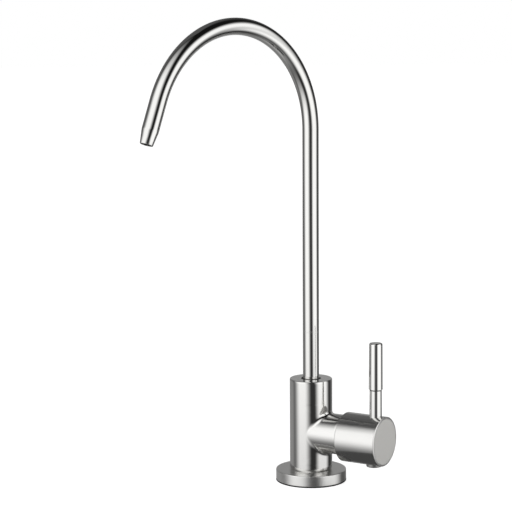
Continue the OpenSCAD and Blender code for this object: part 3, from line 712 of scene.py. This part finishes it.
@dataclass
class Spout:
    """The swan-neck tube with its tapered nose, and the bush that it turns in."""

    finishes: Finishes
    tube_r: float = 4.75
    wall: float = 0.8
    foot_z: float = 49.1
    bend_z: float = 207.095
    bend_r: float = 60.5
    sweep: float = 158.7
    run: float = 16.4
    lip: float = 0.6
    nose_len: float = 8.0
    nose_r: float = 3.65
    nose_edge: float = 0.18
    stops: tuple[float, ...] = (0.06, 0.53, 1.0)
    turned: float = 13.4
    bush_top: float = 60.5
    bush_len: float = 5.0
    bush_r: float = 5.75
    bush_bore: float = 4.8
    sides: int = 64
    bend_steps: int = 120
    bush_steps: int = 96

    def __post_init__(self) -> None:
        """Works out the bend's centre, its end and the way that the tube runs past it."""
        self.lean = radians(self.sweep)
        self.hub = Vector((0, -self.bend_r, self.bend_z))
        self.out = Vector((0, cos(self.lean), sin(self.lean)))
        self.ahead = Vector((0, -sin(self.lean), cos(self.lean)))
        self.nose_start = self.hub + self.out * self.bend_r + self.ahead * self.run
        self.aim = Matrix.Rotation(radians(-self.turned), 4, "Z")

    def build(self) -> None:
        """Builds both pieces."""
        self.build_tube()
        self.build_bush()

    def skin(self, bm: Mesh) -> Ring:
        """Draws the tube's wall as one skin: up the outside, over the tip and back down the inside.

        Args:
            bm: The mesh to add to.

        Returns:
            Edges of the two rings at the tip.
        """
        rise = Vector((0, 0, self.bend_z - self.foot_z))
        ring = bmesh.ops.create_circle(bm, cap_ends=False, segments=self.sides, radius=self.tube_r,
                                       matrix=Matrix.Translation((0, 0, self.foot_z)))["verts"]
        edges = self.pull(bm, list({e for v in ring for e in v.link_edges}), rise)
        edges = self.bend(bm, edges, self.lean)
        for step in (self.run - self.lip, self.lip):
            edges = self.pull(bm, edges, self.ahead * step)
        outside = self.taper(bm, edges, 0.0, self.stops)
        inside = self.pull(bm, outside, Vector(), self.nose_r - self.wall)
        edges = self.taper(bm, inside, self.wall, (*self.stops[-2::-1], 0.0))
        for step in (self.lip, self.run - self.lip):
            edges = self.pull(bm, edges, self.ahead * -step)
        edges = self.pull(bm, self.bend(bm, edges, -self.lean), -rise)
        self.pull(bm, edges, Vector(), self.tube_r)
        return [*outside, *inside]

    def bend(self, bm: Mesh, edges: Ring, angle: float) -> Ring:
        """Spins a ring round the bend by an angle and gives the last ring."""
        spun = bmesh.ops.spin(bm, geom=edges, cent=self.hub, axis=(1, 0, 0), angle=angle,
                              steps=self.bend_steps)
        return [g for g in spun["geom_last"] if isinstance(g, bmesh.types.BMEdge)]

    def taper(self, bm: Mesh, edges: Ring, shrink: float, stops: Iterable[float]) -> Ring:
        """Runs a ring along the nose.

        Args:
            bm: The mesh to add to.
            edges: The ring.
            shrink: How far the skin lies inside the outer one.
            stops: Shares of the nose's length to stop at.

        Returns:
            The last ring.
        """
        for stop in stops:
            centre = sum((v.co for e in edges for v in e.verts), Vector()) / (2 * len(edges))
            step = self.nose_start + self.ahead * (self.nose_len * stop) - centre
            radius = self.tube_r + (self.nose_r - self.tube_r) * stop - shrink
            edges = self.pull(bm, edges, step, radius)
        return edges

    def pull(self, bm: Mesh, edges: Ring, step: Vector, radius: float = 0.0) -> Ring:
        """Extrudes a ring.

        Args:
            bm: The mesh to add to.
            edges: The ring.
            step: Which way and how far it goes.
            radius: Radius of the new ring, or nought to keep it.

        Returns:
            The new ring.
        """
        made = bmesh.ops.extrude_edge_only(bm, edges=edges)["geom"]
        points = [g for g in made if isinstance(g, bmesh.types.BMVert)]
        bmesh.ops.translate(bm, vec=step, verts=points)
        if radius:
            centre = sum((v.co for v in points), Vector()) / len(points)
            for v in points:
                v.co = centre + (v.co - centre).normalized() * radius
        return [g for g in made if isinstance(g, bmesh.types.BMEdge) and len(g.link_faces) == 1]

    def polar(self, p: Vector, mark: Vector) -> Pair:
        """Angle round the tube and length along it.

        Args:
            p: The place to find, on a tube that isn't turned.
            mark: A place on the same leg of the tube.

        Returns:
            The angle and the length.
        """
        if mark.z < self.hub.z and mark.y > self.hub.y:
            return atan2(p.y, p.x), p.z
        arm = p - self.hub
        if atan2(mark.z - self.hub.z, mark.y - self.hub.y) < self.lean:
            out = hypot(arm.y, arm.z) - self.bend_r
            return atan2(out, p.x), self.bend_z + atan2(arm.z, arm.y) * self.bend_r
        past = p - self.nose_start
        start = self.bend_z + self.lean * self.bend_r + self.run
        return atan2(past.dot(self.out), p.x), start + past.dot(self.ahead)

    def chart(self, point: Vector, centre: Vector) -> Pair:
        """Lay of the finish: round the tube and along its run.

        Args:
            point: A face's corner.
            centre: The face's centre.

        Returns:
            The corner's place on the map.
        """
        back = self.aim.inverted()
        mark = back @ centre
        base = self.polar(mark, mark)[0]
        angle, along = self.polar(back @ point, mark)
        return near(angle, base) * self.tube_r, along

    def build_tube(self) -> None:
        """Draws the tube, breaks the edges of its tip and turns it to where it points."""
        bm = bmesh.new()
        rim = self.skin(bm)
        bmesh.ops.recalc_face_normals(bm, faces=bm.faces)
        bmesh.ops.bevel(bm, geom=rim, offset=self.nose_edge, offset_type="OFFSET", segments=3,
                        profile=0.5, affect="EDGES", material=-1)
        bmesh.ops.transform(bm, matrix=self.aim, verts=bm.verts)
        piece = Piece("swan_neck_tube", "spout", "tube_steel", "spout_tube")
        piece.make(bm, [self.finishes["tube"]], self.chart)

    def build_bush(self) -> None:
        """Turns the bush in the top of the body."""
        bm = bmesh.new()
        low = self.bush_top - self.bush_len
        ring = [(self.bush_bore, low, FINE), (self.bush_r, low, SOFT),
                (self.bush_r, self.bush_top, FINE), (self.bush_bore, self.bush_top, SOFT)]
        turn(bm, soften(ring, closed=True, steps=3), self.bush_steps, closed=True)
        piece = Piece("tube_bush", "base", "acetal", "spout_bush")
        piece.make(bm, [self.finishes["acetal"]], turned_chart(Axis.UPRIGHT, self.bush_r))


@dataclass
class Handle:
    """The barrel, its lever and the plug under it."""

    finishes: Finishes
    axis_z: float = 28.85
    back: float = 23.3
    front: float = 49.4
    radius: float = 14.45
    edge_x: float = 0.5
    edge_r: float = 1.3
    edge_steps: int = 8
    rim_share: float = 0.8
    back_x: float = 0.2
    back_r: float = 0.15
    dish: float = 0.5
    cavity_r: float = 11.65
    cavity_end: float = 39.0
    lever_x: float = 43.2
    lever_foot: float = 42.1
    crown: float = 43.3
    lever_r: float = 3.6
    neck_r: float = 3.5
    neck_len: float = 15.8
    neck_edge: float = 0.08
    cut_depth: float = 0.5
    cut_width: float = 0.6
    grip_r: float = 4.0
    grip_edge: float = 0.12
    tip_r: float = 3.85
    grip_len: float = 27.2
    tip_round: float = 1.0
    stud_r: float = 3.0
    stud_len: float = 6.5
    plug_x: float = 42.2
    plug_r: float = 4.45
    plug_z: float = 13.4
    plug_h: float = 2.8
    barrel_steps: int = 192
    rod_steps: int = 72

    def build(self) -> None:
        """Builds the three pieces."""
        self.build_barrel()
        self.build_lever()
        self.build_plug()

    def on_face(self, p: Vector) -> bool:
        """Whether a place is on the barrel's flat front."""
        reach = hypot(p.y, p.z - self.axis_z)
        return p.x > self.front - HAIR and reach < self.radius - self.edge_r

    def chart_barrel(self, point: Vector, centre: Vector) -> Pair:
        """Lay of the barrel's finish: along the wall, and straight across the front."""
        if self.on_face(centre):
            return point.y, point.z
        return turned_chart(Axis.BRANCH, self.radius, self.axis_z)(point, centre)

    def choose_barrel(self, p: Vector) -> int:
        """Finish of a place: wall, blasted front, or the rounded rim and the dished back, whose
        lighter tone is a painted highlight.
        """
        ends = p.x > self.front - self.edge_x * self.rim_share or p.x < self.back + self.dish
        return 1 if self.on_face(p) else 2 * int(ends)

    def build_barrel(self) -> None:
        """Turns the barrel with its cavity, dished back and elliptical front edge."""
        bm = bmesh.new()
        rise = self.back + self.dish
        wall = [(0, self.cavity_end, 0), (self.cavity_r, self.cavity_end, FULL),
                (self.cavity_r, self.back, ROOT), (self.radius - self.back_r, rise, CRISP),
                (self.radius, rise + self.back_x, FINE)]
        for step in range(self.edge_steps + 1):
            share = pi / 2 / self.edge_steps * step
            wall.append((self.radius - self.edge_r * (1 - cos(share)),
                         self.front - self.edge_x * (1 - sin(share)), 0))
        wall.append((0, self.front, 0))
        points = turn(bm, soften(wall), self.barrel_steps, start=0.0)
        bmesh.ops.transform(bm, matrix=along_branch(self.axis_z), verts=points)
        piece = Piece("handle_barrel_shell", "handle", "body_steel", "handle_barrel")
        finishes = [self.finishes["barrel"], self.finishes["face"], self.finishes["rim"]]
        piece.make(bm, finishes, self.chart_barrel, self.choose_barrel)

    def in_painted_shade_cut(self, p: Vector) -> int:
        """One for a place in the ring cut under the grip, which takes painted shade, and nought
        elsewhere.
        """
        step = self.crown + self.neck_len
        return int(step - self.cut_width - HAIR < p.z < step + HAIR)

    def build_lever(self) -> None:
        """Turns the lever with its stud, neck and grip."""
        bm = bmesh.new()
        step = self.crown + self.neck_len
        cut, cut_r = step - self.cut_width, self.neck_r - self.cut_depth
        tip = step + self.grip_len
        foot = self.lever_foot
        stud = foot - self.stud_len
        line = [(0, stud, 0), (self.stud_r, stud, FULL), (self.stud_r, foot, 0),
                (self.lever_r, foot, FINE), (self.lever_r, self.crown, 0),
                (self.neck_r, cut, self.neck_edge), (cut_r, cut, CRISP), (cut_r, step, CRISP),
                (self.grip_r, step, self.grip_edge), (self.tip_r, tip, self.tip_round), (0, tip, 0)]
        points = turn(bm, soften(line, steps=6), self.rod_steps)
        bmesh.ops.translate(bm, vec=(self.lever_x, 0, 0), verts=points)
        piece = Piece("lever_rod", "handle", "tube_steel", "lever")
        # The ring cut under the grip takes the painted shade finish
        piece.make(bm, [self.finishes["lever"], self.finishes["cut"]],
                   turned_chart(Axis.UPRIGHT, self.grip_r, self.lever_x), self.in_painted_shade_cut)

    def build_plug(self) -> None:
        """Turns the plug that covers the handle screw."""
        bm = bmesh.new()
        top = self.plug_z + self.plug_h
        line = [(0, self.plug_z, 0), (self.plug_r, self.plug_z, FULL), (self.plug_r, top, FINE),
                (0, top, 0)]
        points = turn(bm, soften(line), self.rod_steps)
        bmesh.ops.translate(bm, vec=(self.plug_x, 0, 0), verts=points)
        piece = Piece("screw_cover", "handle", "body_steel", "screw_plug")
        piece.make(bm, [self.finishes["cover"]], turned_chart(Axis.UPRIGHT, self.plug_r, self.plug_x))


@dataclass
class Inside:
    """The CAD pieces that keep their own meshes and take a finish."""

    finishes: Finishes

    def dress(self) -> None:
        """Gives each carried-over piece its finish."""
        sets = {"brass": ("shank", "fixing_nut", "inlet_nut", "cartridge_housing", "spindle",
                          "spout_end"),
                "rubber": ("shank_o_ring", "rubber_washer", "cartridge_o_ring", "seat_seal",
                           "spout_o_rings", "spindle_o_rings"),
                "ceramic": ("fixed_disc", "moving_disc"),
                "zinc": ("steel_washer",),
                "spring": ("lock_washer", "spindle_clip", "spout_lock_screw", "handle_screw"),
                "nylon": ("inlet_olive",)}
        for finish, names in sets.items():
            for name in names:
                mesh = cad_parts[name].data
                mesh.materials.clear()
                mesh.materials.append(self.finishes[finish])
                LOG.info("%s dressed in %s", name, finish)


def stage_piece(name: str, bm: Mesh, material: Material, *hidden: str) -> None:
    """Puts a piece of the set in the scene and hides it from kinds of rays.

    Args:
        name: Name of the piece.
        bm: Its mesh, in metres.
        material: Its material.
        hidden: Flags of the kinds of rays that pass it by.
    """
    piece = put_in_scene(name, bm, [material])
    for flag in hidden:
        setattr(piece, flag, False)


@dataclass(frozen=True)
class Panel:
    """A soft-edged light panel of the tent, as fades over angles in degrees seen from the tap.

    Side angles count from the camera's side towards its right, and heights from level.
    """

    sides: tuple[Fade, Fade]
    heights: tuple[Fade, Fade]
    glow: float = 1.2

    def light(self, wires: Wires, side: Socket, height: Socket) -> Socket:
        """Glow of the panel at a place on the tent.

        Args:
            wires: The node tree to add to.
            side: Side angle of the place.
            height: Height of the place.

        Returns:
            The glow.
        """
        glow: object = self.glow
        for angle, fades in ((side, self.sides), (height, self.heights)):
            for fade in fades:
                glow = wires.times(wires.fade(angle, fade), glow)
        return glow


@dataclass
class Tent:
    """The light tent that the steel reflects. Its fades are in degrees, as the panels are."""

    look_side: float
    radius: float = 0.5
    middle: Triple = (0.0, -0.03, 0.12)
    panels: tuple[Panel, ...] = (
        Panel((Fade(-110.0, -64.0), Fade(-38.0, 2.0, 1.0, 0.0)),
              (Fade(-65.0, -7.0), Fade(44.0, 88.0, 1.0, 0.0))),
        Panel((Fade(18.5, 48.5), Fade(82.0, 114.0, 1.0, 0.0)),
              (Fade(-55.0, -11.0), Fade(34.0, 58.0, 1.0, 0.0))))
    lean_low: Fade = Fade(-30.0, 3.0, -3.0, 8.0)
    lean_high: Fade = Fade(3.0, 40.0, 0.0, -20.0)
    left_side: Fade = Fade(-130.0, -82.0, 1.0, 0.0)
    left_height: Fade = Fade(-26.0, -6.0, 0.34, 0.18)
    right_side: Fade = Fade(116.0, 172.0, 0.04, 0.36)
    rear_side: Fade = Fade(135.0, 170.0)
    rear_height: Fade = Fade(-8.0, 2.0, 0.0, 0.42)
    behind_height: Fade = Fade(1.0, 20.0, 1.0, 0.36)
    upper: Fade = Fade(12.0, 60.0, 1.0, 0.54)
    lower: Fade = Fade(-45.0, -8.0, 0.6, 1.0)
    ground: Fade = Fade(-85.0, -35.0, 0.26, 0.0)
    sleeve_r: float = 0.017
    sleeve_len: float = 0.06
    sleeve_z: float = -0.031
    card_r: float = 0.045
    card_at: Triple = (0.036, -0.012, -0.02)
    card_glow: float = 0.07

    def angles(self, wires: Wires) -> tuple[Socket, Socket]:
        """Place on the cloth, with the panels' lean taken in.

        Args:
            wires: The node tree to add to.

        Returns:
            Side angle and height of the place.
        """
        place = wires.node("ShaderNodeTexCoord").outputs["Object"]
        middle = wires.node("ShaderNodeVectorMath", {0: place, 1: self.middle}, operation="SUBTRACT")
        spin = {"Vector": middle.outputs["Vector"], "Angle": radians(90 - self.look_side)}
        spun = wires.node("ShaderNodeVectorRotate", spin, rotation_type="Z_AXIS")
        unit = wires.node("ShaderNodeVectorMath", {0: spun.outputs["Vector"]}, operation="NORMALIZE")
        x, y, z = (wires.axis(unit.outputs["Vector"], letter) for letter in "XYZ")
        side = wires.math("DEGREES", wires.math("ARCTAN2", y, x))
        height = wires.math("DEGREES", wires.math("ARCSINE", z))
        lean = wires.math("ADD", wires.fade(height, self.lean_low), wires.fade(height, self.lean_high))
        return wires.math("ADD", side, lean), height

    def cloth(self, wires: Wires, side: Socket, height: Socket) -> Socket:
        """Dim light of the cloth between the panels, palest behind the tap near the level line.

        Args:
            wires: The node tree to add to.
            side: Side angle of a place.
            height: Height of the place.

        Returns:
            The light.
        """
        left = wires.times(wires.fade(side, self.left_side), wires.fade(height, self.left_height))
        right = wires.fade(side, self.right_side)
        rear = wires.times(wires.fade(wires.math("ABSOLUTE", side), self.rear_side),
                           wires.fade(height, self.rear_height))
        behind = wires.times(wires.math("MAXIMUM", right, rear),
                             wires.fade(height, self.behind_height))
        level = wires.times(wires.math("MAXIMUM", left, behind), wires.fade(height, self.upper))
        cloth = wires.times(level, wires.fade(height, self.lower))
        return wires.math("ADD", cloth, wires.fade(height, self.ground))

    def build(self) -> None:
        """Raises the tent and puts painted shade under the tap, for reflections only."""
        bm = bmesh.new()
        bmesh.ops.create_uvsphere(bm, u_segments=96, v_segments=48, radius=self.radius,
                                  matrix=Matrix.Translation(self.middle))
        material, wires, glow = new_material("light_tent", "ShaderNodeEmission")
        side, height = self.angles(wires)
        total = self.cloth(wires, side, height)
        for panel in self.panels:
            total = wires.math("ADD", total, panel.light(wires, side, height))
        wires.fill(glow, {"Strength": total})
        stage_piece("light_tent", bm, material, *BUT_GLOSSY)
        # A dark sleeve round the shank and a dark card low under the handle: painted shade that stands
        # for the shaded floor under the tap, seen only in reflections
        bm = bmesh.new()
        bmesh.ops.create_cone(bm, cap_ends=True, segments=64, radius1=self.sleeve_r,
                              radius2=self.sleeve_r, depth=self.sleeve_len,
                              matrix=Matrix.Translation((0, 0, self.sleeve_z)))
        bmesh.ops.create_circle(bm, cap_ends=True, segments=64, radius=self.card_r,
                                matrix=Matrix.Translation(self.card_at))
        material, wires, glow = new_material("painted_floor_shade_card", "ShaderNodeEmission")
        wires.fill(glow, {"Strength": self.card_glow})
        stage_piece("painted_floor_shade_card", bm, material, *BUT_GLOSSY)


@dataclass
class Studio:
    """The camera, the pale floor, the white surround, the lamps and the tent.

    The camera's place is in millimetres. A lamp has a place, a size and a power. The fades of the
    floor and the surround keep both white behind the tap, and make them pale grey far in front
    of it, where only views from behind look.
    """

    eye: Triple = (538.044, -918.007, 287.228)
    look_side: float = 32.09304
    look_down: float = 8.20744
    roll: float = -0.3513
    lens: float = 129.6391
    sensor: float = 36.0
    clip: Pair = (0.02, 50.0)
    floor_r: float = 6.0
    floor_tone: float = 0.85
    floor_pale: Fade = Fade(0.4, 2.4, 0.84, 1.0)
    floor_front: Fade = Fade(-1.6, -0.35, 0.78, 1.0)
    sky_front: Fade = Fade(-0.9, -0.3, 0.88, 1.0)
    sky_light: Fade = Fade(0.0, 1.0, 0.12, 1.0)
    lamp_target: Triple = (0, 0, 0.1)
    lamps: tuple[tuple[str, Triple, float, float], ...] = (
        ("key_lamp", (-0.9, -1.3, 1.5), 1.4, 5.0), ("fill_lamp", (1.5, -0.6, 1.2), 1.2, 3.0),
        ("top_lamp", (0.0, 0.3, 2.0), 1.8, 5.0))

    def build(self) -> None:
        """Sets up the whole studio."""
        self.set_camera()
        self.lay_floor()
        self.set_surround()
        Tent(self.look_side).build()
        self.hang_lamps()
        bpy.context.scene.view_settings.view_transform = "Standard"

    def set_camera(self) -> None:
        """Stands the camera where the photograph was taken."""
        turns = ((self.look_side, "Z"), (90 - self.look_down, "X"), (self.roll, "Z"))
        place = Matrix.Translation(Vector(self.eye) * MM)
        for angle, axis in turns:
            place = place @ Matrix.Rotation(radians(angle), 4, axis)
        data = bpy.data.cameras.new("photo_camera")
        data.lens = self.lens
        data.sensor_width = self.sensor
        data.clip_start, data.clip_end = self.clip
        camera = bpy.data.objects.new("photo_camera", data)
        camera.matrix_world = place
        bpy.context.scene.collection.objects.link(camera)
        bpy.context.scene.camera = camera

    def hang_lamps(self) -> None:
        """Hangs soft square lamps that light the floor and the dark pieces."""
        for name, place, size, power in self.lamps:
            data = bpy.data.lights.new(name, "AREA")
            data.size = size
            data.energy = power
            lamp = bpy.data.objects.new(name, data)
            lamp.location = place
            way = Vector(self.lamp_target) - Vector(place)
            lamp.rotation_euler = way.to_track_quat("-Z", "Y").to_euler()
            lamp.visible_glossy = False
            bpy.context.scene.collection.objects.link(lamp)

    def shown_rays(self, wires: Wires) -> Socket:
        """One for rays that show the white surround as it is, and nought for rays that light."""
        path = wires.node("ShaderNodeLightPath").outputs
        return wires.math("MAXIMUM", path["Is Transmission Ray"],
                          wires.math("MAXIMUM", path["Is Camera Ray"], path["Is Glossy Ray"]))

    def lay_floor(self) -> None:
        """Lays a white floor that keeps a soft shadow."""
        bm = bmesh.new()
        bmesh.ops.create_circle(bm, cap_ends=True, segments=96, radius=self.floor_r)
        material, wires, both = new_material("pale_floor", "ShaderNodeAddShader")
        cloth = wires.node("ShaderNodeBsdfDiffuse", {"Color": (*(self.floor_tone,) * 3, 1.0)})
        place = wires.node("ShaderNodeTexCoord").outputs["Object"]
        reach = wires.node("ShaderNodeVectorMath", {0: place}, operation="LENGTH").outputs["Value"]
        pale = wires.times(wires.fade(reach, self.floor_pale),
                           wires.fade(wires.axis(place, "Y"), self.floor_front))
        strength = wires.times(self.shown_rays(wires), pale)
        glow = wires.node("ShaderNodeEmission", {"Strength": strength})
        wires.fill(both, {0: cloth.outputs["BSDF"], 1: glow.outputs["Emission"]})
        stage_piece("floor", bm, material, "visible_glossy")

    def set_surround(self) -> None:
        """Makes the world white to look at and dim as a light."""
        world = bpy.data.worlds.new("white_surround")
        world.use_nodes = True
        bpy.context.scene.world = world
        wires = Wires(world.node_tree)
        way = wires.node("ShaderNodeTexCoord").outputs["Generated"]
        pale = wires.fade(wires.axis(way, "Y"), self.sky_front)
        strength = wires.times(wires.fade(self.shown_rays(wires), self.sky_light), pale)
        sky = wires.node("ShaderNodeBackground", {"Color": (1.0, 1.0, 1.0, 1.0), "Strength": strength})
        wires.node("ShaderNodeOutputWorld", {"Surface": sky.outputs["Background"]})


def main() -> None:
    """Builds the studio and every piece of the tap."""
    logging.basicConfig(level=logging.INFO, format="%(message)s")
    Studio().build()
    finishes = {key: finish.material() for key, finish in FINISHES.items()}
    Base(finishes).build()
    Body(finishes).build()
    Spout(finishes).build()
    Handle(finishes).build()
    Inside(finishes).dress()


if __name__ == "__main__":
    main()
